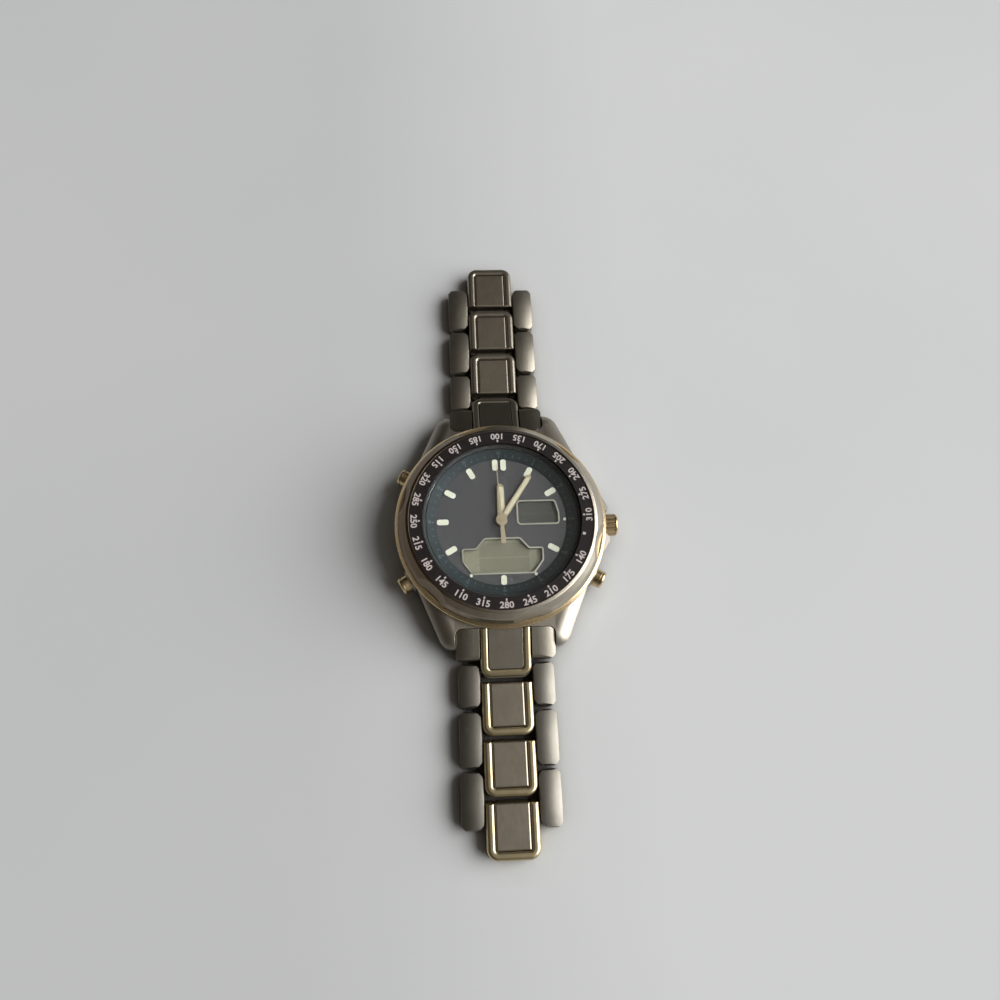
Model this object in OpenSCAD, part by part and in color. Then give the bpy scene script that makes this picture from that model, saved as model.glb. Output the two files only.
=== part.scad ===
// Wristwatch with hands, two digital windows, a rotating bezel and an open link bracelet.
// It lies face up: Z is up, +Y points to 12 o'clock and +X to 3 o'clock.
// The origin is the centre of the case back, on the surface that the watch lies on.

/* [Case] */
// Diameter of the round body of the case
case_d = 37.4; // [36.8:0.2:37.8]
// Diameter of the bore for the movement, the dial and the flange ring
case_bore_d = 28.4; // [28.2:0.1:28.6]
// Height of the lower edge of the case above the surface
case_low_z = 0.8; // [0.7:0.1:1]
// Height of the shoulder that the bezel turns on
shoulder_z = 7; // [6.8:0.1:7.1]
// Outer diameter of the neck that the bezel turns round
neck_d = 31.2; // [31:0.1:31.6]
// Diameter of the flange of the case back
back_d = 31.2; // [31:0.1:31.6]
// Thickness of the flange of the case back
back_t = 1.2; // [1.1:0.1:1.4]
// Height of the spigot of the case back inside the case
spigot_h = 0.7; // [0.5:0.1:0.9]
// Thickness of the floor of the case back
back_floor_t = 0.8; // [0.7:0.1:0.9]
// Number of key slots round the case back
back_slots = 6; // [4:1:8]
// Section diameter of the case back gasket
back_gasket_t = 0.6; // [0.5:0.05:0.65]

/* [Lugs] */
// Distance between the inner faces of a pair of lugs
lug_gap = 18.5; // [18.2:0.1:18.8]
// Distance of the lug tips from the centre of the watch
lug_reach = 23; // [22.6:0.1:23.4]
// Radius of the lug tips seen from above
lug_tip_r = 3.1; // [2.9:0.1:3.2]
// Height of a lug over the centre of its tip
lug_tip_z = 5.9; // [5.7:0.1:6]
// Fall of a lug towards its tip in degrees
lug_fall = 8; // [6:0.5:9]
// Radius of the rounding along the outer edge of a lug
lug_round_r = 4.4; // [4:0.1:5]
// Distance of the wall between two lugs from the centre of the watch
end_wall_y = 19.5; // [19.3:0.1:19.7]
// Radius of the hollow corner between that wall and a lug
wall_corner_r = 1.3; // [1.1:0.1:1.5]
// Distance of the spring bars from the centre of the watch
spring_bar_y = 21.1; // [21:0.1:21.4]
// Height of the spring bars
spring_bar_z = 3.4; // [3.2:0.1:3.6]
// Diameter of the body of a spring bar
spring_bar_d = 1.5; // [1.3:0.1:1.6]
// Diameter of the tips of a spring bar
spring_tip_d = 0.8; // [0.7:0.1:0.9]

/* [Bezel] */
// Diameter of the base ring, the widest round of the bezel
bezel_d = 40; // [39.8:0.1:40.4]
// Height of the base ring
base_ring_t = 0.85; // [0.7:0.05:1]
// Diameter of the flank of the hood between its scallops
hood_d = 38.6; // [38.4:0.1:38.8]
// Height of the printed ring's face above the surface
head_h = 10.7; // [10.6:0.05:10.9]
// Outer diameter of the printed ring
ring_d = 34.4; // [34.2:0.1:34.6]
// Inner diameter of the printed ring
ring_bore_d = 29.8; // [29.6:0.1:30]
// Thickness of the printed ring
ring_t = 0.35; // [0.3:0.01:0.38]
// Number of scallops round the hood
scallops = 6; // [5:1:8]
// Depth of each scallop at the foot of the hood
scallop_depth = 0.35; // [0.25:0.05:0.5]
// Radius of the cutter that makes the scallops
scallop_r = 22; // [18:1:26]
// Lean of that cutter in degrees
scallop_lean = 24; // [22:1:26]

/* [Dial and crystal] */
// Height of the underside of the dial
dial_z = 7.8; // [7.7:0.05:7.9]
// Thickness of the dial
dial_t = 0.4; // [0.35:0.05:0.45]
// Free height between the dial and the crystal
hand_room = 1.3; // [1.25:0.05:1.35]
// Thickness of the crystal
crystal_t = 1.1; // [1:0.05:1.2]
// Diameter of the crystal
crystal_d = 28.84; // [28.7:0.02:28.9]
// Radial thickness of the crystal gasket
crystal_gasket_t = 0.34; // [0.3:0.02:0.36]
// Diameter of the part of the dial that shows inside the flange ring
dial_view_d = 24.5; // [24.3:0.1:24.7]
// Width of the frames round the windows
frame_w = 0.28; // [0.24:0.02:0.34]
// Height of the frames and the hour bars above the dial
trim_h = 0.2; // [0.15:0.01:0.25]
// Radius of the ring on which the hour bars are centred
marker_ring_r = 10.95; // [10.8:0.05:11.1]
// Length of an hour bar
marker_l = 2.2; // [2:0.1:2.4]
// Width of an hour bar
marker_w = 1.05; // [0.9:0.05:1.2]

/* [Hands] */
// Length of the hour hand
hour_hand_l = 7.25; // [6.8:0.05:7.6]
// Width of the hour hand
hour_hand_w = 1.5; // [1.3:0.1:1.6]
// Length of the minute hand
minute_hand_l = 10.6; // [10:0.1:11.2]
// Width of the minute hand
minute_hand_w = 1.15; // [1:0.05:1.3]
// Length of the second hand
second_hand_l = 10.9; // [10:0.1:11.4]
// Length of the second hand's tail
second_tail_l = 4.6; // [4:0.1:5]
// Thickness of each hand
hand_t = 0.14; // [0.12:0.01:0.16]
// Diameter of the pipe of the hour hand
hour_pipe_d = 1.9; // [1.8:0.05:2]
// Clockwise angle of the hour hand from 12 o'clock
hour_angle = 0.4; // [0:0.1:1]
// Clockwise angle of the minute hand from 12 o'clock
minute_angle = 33.5; // [30:0.5:40]
// Clockwise angle of the second hand from 12 o'clock
second_angle = -3; // [-4:0.5:-1]

/* [Crown and pushers] */
// Height of the crown and pusher axes
crown_z = 3.9; // [3.85:0.05:3.95]
// Diameter of the crown
crown_d = 4.2; // [4:0.1:4.4]
// Distance of the crown's end from the centre of the watch
crown_reach = 22.8; // [22.6:0.1:23.2]
// Length of the crown
crown_l = 2.6; // [2.5:0.05:2.7]
// Number of flutes round the crown
crown_flutes = 16; // [12:1:20]
// Way that the crown pulls out
crown_travel = 1.2; // [1:0.1:1.3]
// Diameter of the stem
stem_d = 1; // [0.9:0.05:1.1]
// Diameter of a pusher's cap
pusher_d = 3.4; // [3.2:0.1:3.6]
// Distance of a pusher's face from the centre of the watch
pusher_reach = 22.1; // [21.9:0.1:22.4]
// Length of a pusher's cap
pusher_l = 2.1; // [2.1:0.05:2.3]
// Diameter of a pusher's shaft
pusher_shaft_d = 1.2; // [1.1:0.05:1.3]
// Way that a pusher travels
pusher_travel = 0.8; // [0.6:0.05:0.85]

/* [Bracelet] */
// Distance from one link to the next
link_pitch = 10.25; // [10.15:0.05:10.4]
// Width of a centre link
centre_w = 9.4; // [9.2:0.1:9.6]
// Width of the whole bracelet
bracelet_w = 17.8; // [17.6:0.1:18]
// Thickness of the links
link_t = 3.3; // [3.2:0.05:3.4]
// Gap between one centre link and the next
centre_gap = 0.9; // [0.8:0.05:1]
// Gap between one outer link and the next
outer_gap = 0.45; // [0.4:0.05:0.6]
// Play between a centre link and an outer link
side_play = 0.1; // [0.08:0.01:0.15]
// Diameter of the link pins
pin_d = 1; // [0.9:0.05:1.1]
// Distance between the two pins of a centre link
centre_pin_span = 4.95; // [4.8:0.05:5.1]
// Width of the raised rim of a centre link
rim_w = 1.55; // [1.4:0.05:1.7]
// Corner radius of the rim seen from above
rim_corner_r = 2; // [1.8:0.1:2.2]
// Height of the rim over the core of a centre link
rim_rise = 0.17; // [0.1:0.01:0.25]
// Distance of the end link's tongue from the centre of the watch
tongue_reach = 28.17; // [28:0.05:28.4]
// Distance of the end link's shoulders from the centre of the watch
wing_reach = 25; // [24.9:0.05:25.1]
// Distance of the end link's pin from the centre of the watch
end_pin_y = 26.75; // [26.7:0.05:26.85]

/* [Movement] */
// Diameter of the main plate
plate_d = 26.1; // [25.8:0.1:26.2]
// Thickness of the main plate
plate_t = 2.3; // [2.2:0.05:2.4]
// Thickness of the circuit board
board_t = 0.6; // [0.5:0.05:0.7]
// Diameter of the battery
battery_d = 9.5; // [9.3:0.1:9.6]
// Height of the battery
battery_h = 2.6; // [2.4:0.05:2.7]
// Thickness of the liquid crystal panels
lcd_t = 0.6; // [0.5:0.05:0.62]

/* [Hidden] */
$fn = 64;
UPPER = 1;
LOWER = -1;
LINKS = [1, 2, 3];
HALVES = ["upper", "lower"];

// Colours as the photograph shows them
TITANIUM = [0.52, 0.5, 0.46];
POLISHED = [0.66, 0.63, 0.56];
GOLD = [0.78, 0.62, 0.3];
BRONZE = [0.5, 0.45, 0.36];
BLACK = [0.05, 0.04, 0.05];
LUME = [0.86, 0.87, 0.74];
LCD = [0.5, 0.53, 0.44];

// Fits
slip = 0.02;          // pieces of one body that seat in each other
run = 0.05;           // shafts that turn or slide in a bore
pin_press = 0.01;     // pins driven into the outer links
case_fit = 0.1;       // end link round the case, bezel over its shoulder
tall = 12;            // more than the height of the watch

// Radii and heights of the head
case_r = case_d / 2;
bore_r = case_bore_d / 2;
neck_r = neck_d / 2;
back_r = back_d / 2;
inside_z = back_t + spigot_h;
dial_top = dial_z + dial_t;
crystal_low = dial_top + hand_room;
gasket_foot_t = 0.28;
ledge_z = crystal_low - gasket_foot_t;
neck_top = crystal_low + 0.5;
crystal_r = crystal_d / 2;
seat_r = crystal_r + crystal_gasket_t + 2 * slip;
bezel_low = shoulder_z + case_fit;
hood_low = bezel_low + base_ring_t;
base_bore_r = neck_r + 2;
bezel_r = bezel_d / 2;
ring_seat_z = head_h - ring_t;
lip_w = 0.3;
lip_h = 0.2;
lip_z = head_h + lip_h;
hood_r = hood_d / 2;
ring_r = ring_d / 2;

// Lug outline: the centre of its tip, where its outer edge leaves the case and where that meets the tip
lug_tip = [lug_gap / 2, lug_reach - lug_tip_r];
lug_root = [case_r - 1.8, 9.6];
lug_touch = touch_point(lug_tip, lug_tip_r, lug_root, 1);
lug_turn = atan2(lug_root.x - lug_touch.x, lug_touch.y - lug_root.y);
// Height of the top of a lug along its inner face
function lug_top(y) = lug_tip_z + (lug_tip.y - y) * cos(lug_turn) * tan(lug_fall);

// Gasket groove between the bore and the edge of the back
gasket_ring_r = (bore_r + back_r) / 2;
gasket_groove_w = 0.8;

// Movement levels
holder_r = bore_r - 2 * run;
holder_wall = 0.95;
plate_r = plate_d / 2;
plate_top = dial_z - lcd_t - 0.1;
plate_low = plate_top - plate_t;
board_low = plate_low - board_t;
battery_low = plate_low - battery_h;
battery_at = [-5.6, -4.2];
dial_foot_r = 0.4;
dial_foot_l = 1;
DIAL_FEET = [[-9.5, 7], [10.2, -6.9]];

// Hands
hour_hand_z = dial_top + 0.36;
hand_step = hand_t + 0.15;
minute_hand_z = hour_hand_z + hand_step;
second_hand_z = minute_hand_z + hand_step;
hour_pipe_r = hour_pipe_d / 2;
minute_pipe_r = hour_pipe_r - 0.32;
second_arbor_r = minute_pipe_r - 0.32;
hour_pipe_low = plate_top - 0.9;
minute_pipe_low = hour_pipe_low - 0.6;
second_arbor_low = minute_pipe_low - 0.5;

// Crown, stem and pushers
crown_r = crown_d / 2;
crown_low = crown_reach - crown_l;
stem_r = stem_d / 2;
tube_wall = 0.5;
pusher_tube_wall = 0.35;
crown_tube_r = stem_r + run + tube_wall;
lever_x = 10.5;
lever_half_w = 1.3;
lever_half_l = 0.6;
stem_groove_w = 0.5;
stem_neck_r = stem_r - 0.2;
stem_end = crown_reach - 0.7;
pusher_r = pusher_d / 2;
collar_reach = pusher_reach - 1.9;
collar_wall = 0.4;
collar_bore_low = pusher_reach - pusher_l - pusher_travel - 0.1;
shaft_r = pusher_shaft_d / 2;
pusher_tube_r = shaft_r + run + pusher_tube_wall;
shaft_low = plate_r + pusher_travel + 0.1;
PUSHER_ANGLES = [-30, 210, 150];

// Bracelet
centre_l = link_pitch - centre_gap;
outer_l = link_pitch - outer_gap;
outer_in = centre_w / 2 + side_play;
outer_out = bracelet_w / 2;
pin_r = pin_d / 2;
pin_z = link_t / 2;
top_round = 1.9;
low_round = 1.2;
inner_corner_r = 1.9;
outer_corner_r = 1.4;
rim_low_round = 0.45;
pin_inset = (centre_l - centre_pin_span) / 2;
rim_low_reach = norm([pin_inset - rim_low_round, pin_z - rim_low_round]) + rim_low_round;
nose_play = 0.1;
nose_l = centre_gap + pin_inset - rim_low_reach - nose_play;
end_slope = 19;
tongue_top_z = link_t - 0.1;
wing_out = lug_gap / 2 - 0.08;
end_rim_depth = 0.9;
end_root = end_wall_y + case_fit;
end_root_z = tongue_top_z + tan(end_slope) * (tongue_reach - end_root);

// Small vector helpers
function unit(v) = v / norm(v);
function left_of(v) = [-v.y, v.x];
function turned(v, angle) = [v.x * cos(angle) - v.y * sin(angle), v.x * sin(angle) + v.y * cos(angle)];
function corner(points, i) = points[(i + len(points)) % len(points)];
function edge_in(points, i) = unit(corner(points, i) - corner(points, i - 1));
function edge_out(points, i) = edge_in(points, i + 1);

// Corner i of an anticlockwise outline, moved inwards by d from both of its edges
function inset_corner(points, i, d) =
    let(a = left_of(edge_in(points, i)), b = left_of(edge_out(points, i)))
    corner(points, i) + d * (a + b) / (1 + a * b);
function inset(points, d) = [for (i = [0 : len(points) - 1]) inset_corner(points, i, d)];

// The outline with an arc of radius r in each corner, hollow corners included
function rounded(points, r, steps = 6) = [for (i = [0 : len(points) - 1])
    let(
        a = edge_in(points, i),
        b = edge_out(points, i),
        turn = atan2(a.x * b.y - a.y * b.x, a * b),
        side = turn > 0 ? 1 : -1,
        radius = is_list(r) ? r[i] : r,
        centre = inset_corner(points, i, side * radius))
    each radius == 0 ? [corner(points, i)]
        : [for (k = [0 : steps]) centre - side * radius * turned(left_of(a), turn * k / steps)]];

// Point where a line from p touches a circle, on the side given by the sign
function touch_point(centre, r, p, side) =
    let(v = p - centre) centre + r * turned(unit(v), side * acos(r / norm(v)));

// Rectangle with its own radius at each corner, anticlockwise from the low corner
module soft_rectangle(low, high, radii) {
    corners = [low, [high.x, low.y], high, [low.x, high.y]];
    inward = [[1, 1], [-1, 1], [-1, -1], [1, -1]];
    polygon([for (i = [0 : 3]) each i % 2 == 0
        ? [corners[i] + [0, inward[i].y * radii[i]], corners[i] + [inward[i].x * radii[i], 0]]
        : [corners[i] + [inward[i].x * radii[i], 0], corners[i] + [0, inward[i].y * radii[i]]]]);
    for (i = [0 : 3])
        translate(corners[i] + radii[i] * inward[i]) circle(radii[i]);
}

// Extrusions of an outline drawn in YZ or in XZ, centred on the watch
module along_x(length) {
    rotate([90, 0, 90]) linear_extrude(length, center = true) children();
}
module along_y(length) {
    rotate([90, 0, 0]) linear_extrude(length, center = true) children();
}

// A solid drawn up its own Z axis, laid along +X at the height of the crown and turned to an angle
module radial(angle = 0) {
    rotate([0, 0, angle]) translate([0, 0, crown_z]) rotate([0, 90, 0]) children();
}
// A cylinder between two distances from the centre of the watch
module radial_rod(r, low, high, angle = 0) {
    radial(angle) translate([0, 0, low]) cylinder(r = r, h = high - low);
}
module disc(r, low, high) {
    translate([0, 0, low]) cylinder(r = r, h = high - low);
}
module tube(r_out, r_in, low, high) {
    difference() {
        disc(r_out, low, high);
        disc(r_in, low - 1, high + 1);
    }
}
module both_sides() {
    children();
    mirror([1, 0, 0]) children();
}
module four_corners() {
    both_sides() children();
    mirror([0, 1, 0]) both_sides() children();
}

// Case middle

module case_round() {
    rotate_extrude($fn = 128)
        polygon(rounded([[0, case_low_z], [case_r, case_low_z], [case_r, shoulder_z], [0, shoulder_z]],
            [0, 1.1, 0.4, 0]));
    tube(neck_r, bore_r, shoulder_z - 1, neck_top, $fn = 128);
}
module lug_plan() {
    intersection() {
        translate([lug_gap / 2, 0]) square([case_r, lug_reach]);
        union() {
            polygon([[0, 9], [lug_root.x, 9], lug_root, lug_touch, lug_tip, [0, lug_tip.y]]);
            translate(lug_tip) circle(lug_tip_r);
        }
    }
}
// Stock under the top of a lug: it falls to the tip and is round along its outer edge and its tip
module lug_cap() {
    length = lug_reach;
    translate([lug_tip.x, lug_tip.y, lug_tip_z - lug_round_r / cos(lug_fall)]) rotate([0, 0, lug_turn]) {
        sphere(lug_round_r, $fn = 96);
        translate([0, 0, -tall]) cylinder(r = lug_round_r, h = tall, $fn = 96);
        rotate([90 - lug_fall, 0, 0]) linear_extrude(length) {
            circle(lug_round_r, $fn = 96);
            translate([-length, -tall]) square([length, tall + lug_round_r]);
            translate([0, -tall]) square([lug_round_r, tall]);
        }
    }
}
// Lug seen from the side, with a rounded lower edge at its tip
module lug_foot() {
    polygon(rounded([[5, case_low_z], [18, case_low_z], [lug_reach, case_low_z + 0.6], [lug_reach, tall],
        [5, tall]], [0, 0, 1.1, 0, 0]));
}
module lug() {
    intersection() {
        linear_extrude(shoulder_z) lug_plan();
        translate([lug_gap / 2, 0, 0]) along_x(lug_gap) lug_foot();
        lug_cap();
    }
}
// Stock between two lugs, with a hollow corner at each of them
module end_wall() {
    inner = lug_gap / 2;
    low = 10;
    high = end_wall_y + wall_corner_r;
    intersection() {
        linear_extrude(shoulder_z) difference() {
            translate([-inner, low]) square([2 * inner, high - low]);
            soft_rectangle([-inner, end_wall_y], [inner, lug_reach],
                [wall_corner_r, wall_corner_r, wall_corner_r, wall_corner_r]);
        }
        along_x(lug_gap + 1) polygon([[low, case_low_z], [end_wall_y - 0.8, case_low_z],
            [high, case_low_z + 1.2], [high, lug_top(high)], [low, lug_top(low)]]);
    }
}
module crown_guard() {
    guard = [[case_r - 2, 1.2], [20, 2.2], [21, 2.75], [20.95, 3.5], [19.3, 5.9], [case_r - 2, 8]];
    intersection() {
        linear_extrude(shoulder_z) polygon(rounded(guard, [0, 0, 0.4, 0.9, 3, 0]));
        rotate_extrude($fn = 128)
            polygon([[0, 1.5], [19.8, 1.5], [21.3, 2.7], [21.3, 5.1], [19.8, 6.5], [0, 6.5]]);
    }
}
module pusher_collar(angle) {
    collar_r = pusher_r + run + collar_wall;
    radial(angle) translate([0, 0, case_r - 2]) rotate_extrude()
        polygon(rounded([[0, 0], [collar_r, 0], [collar_r, collar_reach - case_r + 2],
            [0, collar_reach - case_r + 2]], [0, 0, 0.25, 0]));
}
module case_middle() {
    color(TITANIUM) difference() {
        union() {
            case_round();
            four_corners() lug();
            end_wall();
            mirror([0, 1, 0]) end_wall();
            crown_guard();
            mirror([0, 1, 0]) crown_guard();
            for (angle = PUSHER_ANGLES) pusher_collar(angle);
        }
        disc(bore_r, 0, tall, $fn = 128);
        disc(seat_r, ledge_z, tall, $fn = 128);
        disc(back_r + run, 0, back_t, $fn = 128);
        tube(gasket_ring_r + gasket_groove_w / 2, gasket_ring_r - gasket_groove_w / 2, back_t - 0.1,
            back_t + back_gasket_t);
        radial_rod(crown_r + 0.25, crown_low - 0.1, case_d);
        radial_rod(crown_tube_r + slip, bore_r - 1, case_d);
        for (angle = PUSHER_ANGLES) {
            radial_rod(pusher_r + run, collar_bore_low, case_d, angle);
            radial_rod(pusher_tube_r + slip, bore_r - 1, case_d, angle);
        }
        for (y = [-spring_bar_y, spring_bar_y])
            translate([0, y, spring_bar_z]) rotate([0, 90, 0])
                cylinder(r = spring_tip_d / 2 + slip, h = lug_gap + 2.4, center = true, $fn = 32);
        for (y = [-spring_bar_y, spring_bar_y])
            cross_pin(y, spring_bar_z, spring_bar_d / 2 + case_fit, lug_gap - 0.3);
    }
}
module case_back() {
    edge = 0.35;
    spigot_wall = 0.9;
    turned_r = 9.6;
    turned_depth = 0.15;
    key_w = 2;
    key_r = back_r - 0.9;
    key_depth = 0.45;
    color(TITANIUM) difference() {
        rotate_extrude($fn = 128) polygon([
            [0, 0], [turned_r - 0.35, 0], [turned_r - 0.2, turned_depth], [turned_r + 0.2, turned_depth],
            [turned_r + 0.35, 0], [back_r - edge, 0], [back_r, edge], [back_r, back_t],
            [bore_r - run, back_t], [bore_r - run, inside_z], [bore_r - spigot_wall, inside_z],
            [bore_r - spigot_wall, back_floor_t], [0, back_floor_t]]);
        for (i = [0 : back_slots - 1])
            rotate([0, 0, 360 / back_slots * (i + 0.5)])
                translate([key_r, -key_w / 2, -1]) cube([key_w, key_w, 1 + key_depth]);
    }
}
module case_back_gasket() {
    color(BLACK) rotate_extrude($fn = 96)
        translate([gasket_ring_r, back_t + back_gasket_t / 2]) circle(back_gasket_t / 2 - 0.01, $fn = 20);
}

// Crystal, dial and hands

module crystal() {
    color([0.8, 0.85, 0.88, 0.3]) translate([0, 0, crystal_low]) rotate_extrude($fn = 128)
        polygon([[0, 0], [crystal_r, 0], [crystal_r, crystal_t - 0.15], [crystal_r - 0.15, crystal_t],
            [0, crystal_t]]);
}
module crystal_gasket() {
    wall_r = crystal_r + slip;
    color(BLACK) rotate_extrude($fn = 128) polygon([
        [bore_r - 0.02, ledge_z], [wall_r + crystal_gasket_t, ledge_z],
        [wall_r + crystal_gasket_t, neck_top + 0.2], [wall_r, neck_top + 0.2],
        [wall_r, crystal_low - 0.01], [bore_r - 0.02, crystal_low - 0.01]]);
}
module flange_ring() {
    foot_h = 0.12;
    color([0.12, 0.2, 0.25]) rotate_extrude($fn = 128) polygon([
        [dial_view_d / 2, dial_top], [bore_r - run, dial_top], [bore_r - run, ledge_z - 0.02],
        [bore_r - 0.25, ledge_z - 0.02], [dial_view_d / 2, dial_top + foot_h]]);
}
UPPER_WINDOW = [[2.9, -0.9], [10.95, -0.9], [10.98, 1.35], [10.35, 3.95], [2.9, 3.95]];
LOWER_WINDOW = [[-5.72, -10.2], [5.72, -10.2], [7.58, -7.7], [7.58, -5.2], [5, -5.2], [3.35, -3.25],
    [-3.35, -3.25], [-5, -5.2], [-7.58, -5.2], [-7.58, -7.7]];
UPPER_RADII = [0.8, 0.7, 0.9, 0.7, 0.8];
LOWER_RADII = [0.9, 0.9, 0.8, 0.5, 0.8, 0.9, 0.9, 0.8, 0.5, 0.8];
module window(points, radii, grow) {
    polygon(rounded(inset(points, -grow), [for (r = radii) max(0.15, r + grow * 0.9)], 5));
}
module dial() {
    color([0.36, 0.35, 0.4]) {
        difference() {
            disc(bore_r - 2 * run, dial_z, dial_top, $fn = 128);
            disc(hour_pipe_r + 0.2, dial_z - 1, dial_top + 1);
            translate([0, 0, dial_z - 1]) linear_extrude(dial_t + 2) {
                window(UPPER_WINDOW, UPPER_RADII, -frame_w);
                window(LOWER_WINDOW, LOWER_RADII, -frame_w);
            }
        }
        for (at = DIAL_FEET)
            translate(at) disc(dial_foot_r, plate_top - dial_foot_l, dial_z);
    }
}
module window_frames() {
    color(GOLD) translate([0, 0, dial_top]) linear_extrude(trim_h) {
        difference() {
            window(UPPER_WINDOW, UPPER_RADII, 0);
            window(UPPER_WINDOW, UPPER_RADII, -frame_w);
        }
        difference() {
            window(LOWER_WINDOW, LOWER_RADII, 0);
            window(LOWER_WINDOW, LOWER_RADII, -frame_w);
        }
    }
}
module lcd_panel(low, high) {
    color(LCD) translate([low.x, low.y, plate_top]) cube([high.x - low.x, high.y - low.y, lcd_t]);
}
module upper_lcd() {
    lcd_panel([2.6, -1.2], [11.5, 4.4]);
}
module lower_lcd() {
    lcd_panel([-8, -10.3], [8, -3]);
}
module hour_bar(angle, r, length, shift = 0) {
    rotate([0, 0, -angle]) translate([shift, r, dial_top]) linear_extrude(trim_h)
        soft_rectangle([-marker_w / 2, -length / 2], [marker_w / 2, length / 2],
            [for (i = [0 : 3]) marker_w * 0.4]);
}
module hour_markers() {
    dot_r = 0.28;
    dot_ring_r = dial_view_d / 2 - dot_r - 0.06;
    short_bar_l = 1.75;
    color(LUME) {
        for (hour = [1, 2, 4, 8, 9, 10, 11]) hour_bar(30 * hour, marker_ring_r, marker_l);
        for (shift = [-0.8, 0.8]) hour_bar(0, marker_ring_r + 0.2, marker_l, shift);
        hour_bar(180, marker_ring_r + 0.35, short_bar_l);
        for (hour = [3, 5, 7])
            rotate([0, 0, -30 * hour]) translate([0, dot_ring_r, dial_top])
                cylinder(r = dot_r, h = trim_h, $fn = 24);
    }
}
// Hand blade along +Y with a recess for its luminous filling
module blade(length, width, hub_r, z) {
    neck = width * 0.42;
    recess_low = hub_r + 0.35;
    recess_w = width - 0.36;
    recess_t = hand_t * 0.4;
    outline = [[-neck, 0], [neck, 0], [width / 2, recess_low + 0.9], [width / 2 - 0.08, length - 0.5],
        [0.12, length], [-0.12, length], [-width / 2 + 0.08, length - 0.5], [-width / 2, recess_low + 0.9]];
    difference() {
        translate([0, 0, z]) linear_extrude(hand_t) polygon(outline);
        translate([0, 0, z + hand_t - recess_t]) linear_extrude(1)
            soft_rectangle([-recess_w / 2, recess_low], [recess_w / 2, length - 0.6],
                [0.2, 0.2, 0.3, 0.3], $fn = 24);
    }
}
module hour_hand() {
    color(GOLD) rotate([0, 0, -hour_angle]) difference() {
        union() {
            blade(hour_hand_l, hour_hand_w, hour_pipe_r, hour_hand_z);
            disc(hour_pipe_r + 0.12, hour_hand_z - 0.1, hour_hand_z + hand_t);
            disc(hour_pipe_r, hour_pipe_low, hour_hand_z + hand_t);
        }
        disc(minute_pipe_r + run, hour_pipe_low - 1, hour_hand_z + 1);
    }
}
module minute_hand() {
    color(GOLD) rotate([0, 0, -minute_angle]) difference() {
        union() {
            blade(minute_hand_l, minute_hand_w, hour_pipe_r, minute_hand_z);
            disc(hour_pipe_r, minute_hand_z, minute_hand_z + hand_t);
            disc(minute_pipe_r, minute_pipe_low, minute_hand_z + hand_t);
        }
        disc(second_arbor_r + run, minute_pipe_low - 1, minute_hand_z + 1);
    }
}
module second_hand() {
    needle = 0.16;
    tail = 0.48;
    color(GOLD) rotate([0, 0, -second_angle]) {
        translate([0, 0, second_hand_z]) linear_extrude(hand_t) {
            polygon([[-0.3, 0], [0.3, 0], [needle, 2], [0.06, second_hand_l], [-0.06, second_hand_l],
                [-needle, 2]]);
            polygon(rounded([[-0.25, 0.5], [-tail, -second_tail_l], [tail, -second_tail_l], [0.25, 0.5]],
                [0.1, 0.3, 0.3, 0.1]));
            circle(hour_pipe_r + 0.1);
        }
        disc(second_arbor_r, second_arbor_low, second_hand_z + hand_t + 0.1);
    }
}

// Movement

module movement_holder() {
    color([0.75, 0.76, 0.74]) difference() {
        tube(holder_r, holder_r - holder_wall, inside_z, dial_z, $fn = 128);
        radial_rod(stem_r + 0.15, plate_r - 2, bore_r + 1);
        for (angle = PUSHER_ANGLES) radial_rod(shaft_r + 0.12, plate_r - 2, bore_r + 1, angle);
    }
}
module main_plate() {
    guide_r = 0.5;
    guide_y = 3;
    color([0.72, 0.66, 0.42]) difference() {
        union() {
            disc(plate_r, plate_low, plate_top, $fn = 128);
            for (y = [-guide_y, guide_y])
                translate([lever_x, y]) disc(guide_r, plate_low - 0.9, plate_low);
        }
        disc(hour_pipe_r + run, hour_pipe_low - 0.1, plate_top + 1);
        disc(minute_pipe_r + run, minute_pipe_low - 0.1, plate_top);
        disc(second_arbor_r + run, second_arbor_low - 0.1, plate_top);
        for (at = DIAL_FEET)
            translate(at) disc(dial_foot_r + run, plate_top - dial_foot_l - run, plate_top + 1);
    }
}
module circuit_board() {
    lever_room = 7.6;
    color([0.1, 0.35, 0.2]) difference() {
        disc(plate_r - 0.2, board_low, plate_low);
        translate(battery_at) disc(battery_d / 2 + 0.15, board_low - 1, plate_low + 1);
        translate([lever_x - 2, -lever_room / 2, board_low - 1])
            cube([2 + 4 * crown_travel, lever_room, board_t + 2]);
    }
}
module battery() {
    can_r = battery_d / 2;
    color([0.78, 0.78, 0.76]) translate([battery_at.x, battery_at.y, battery_low]) rotate_extrude()
        polygon([[0, 0], [can_r - 1, 0], [can_r - 0.9, 0.25], [can_r - 0.3, 0.25], [can_r, 0.5],
            [can_r, battery_h - 0.1], [0, battery_h - 0.1]]);
}
module battery_strap() {
    strap_t = 0.2;
    strap_w = 2;
    half_l = battery_d / 2 + 1.45;
    foot_l = 0.8;
    low = battery_low - strap_t;
    color([0.8, 0.7, 0.4]) translate([battery_at.x, battery_at.y - strap_w / 2, low]) {
        translate([-half_l, 0, 0]) cube([2 * half_l, strap_w, strap_t]);
        for (x = [-half_l, half_l - foot_l])
            translate([x, 0, 0]) cube([foot_l, strap_w, board_low - low]);
    }
}
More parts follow.
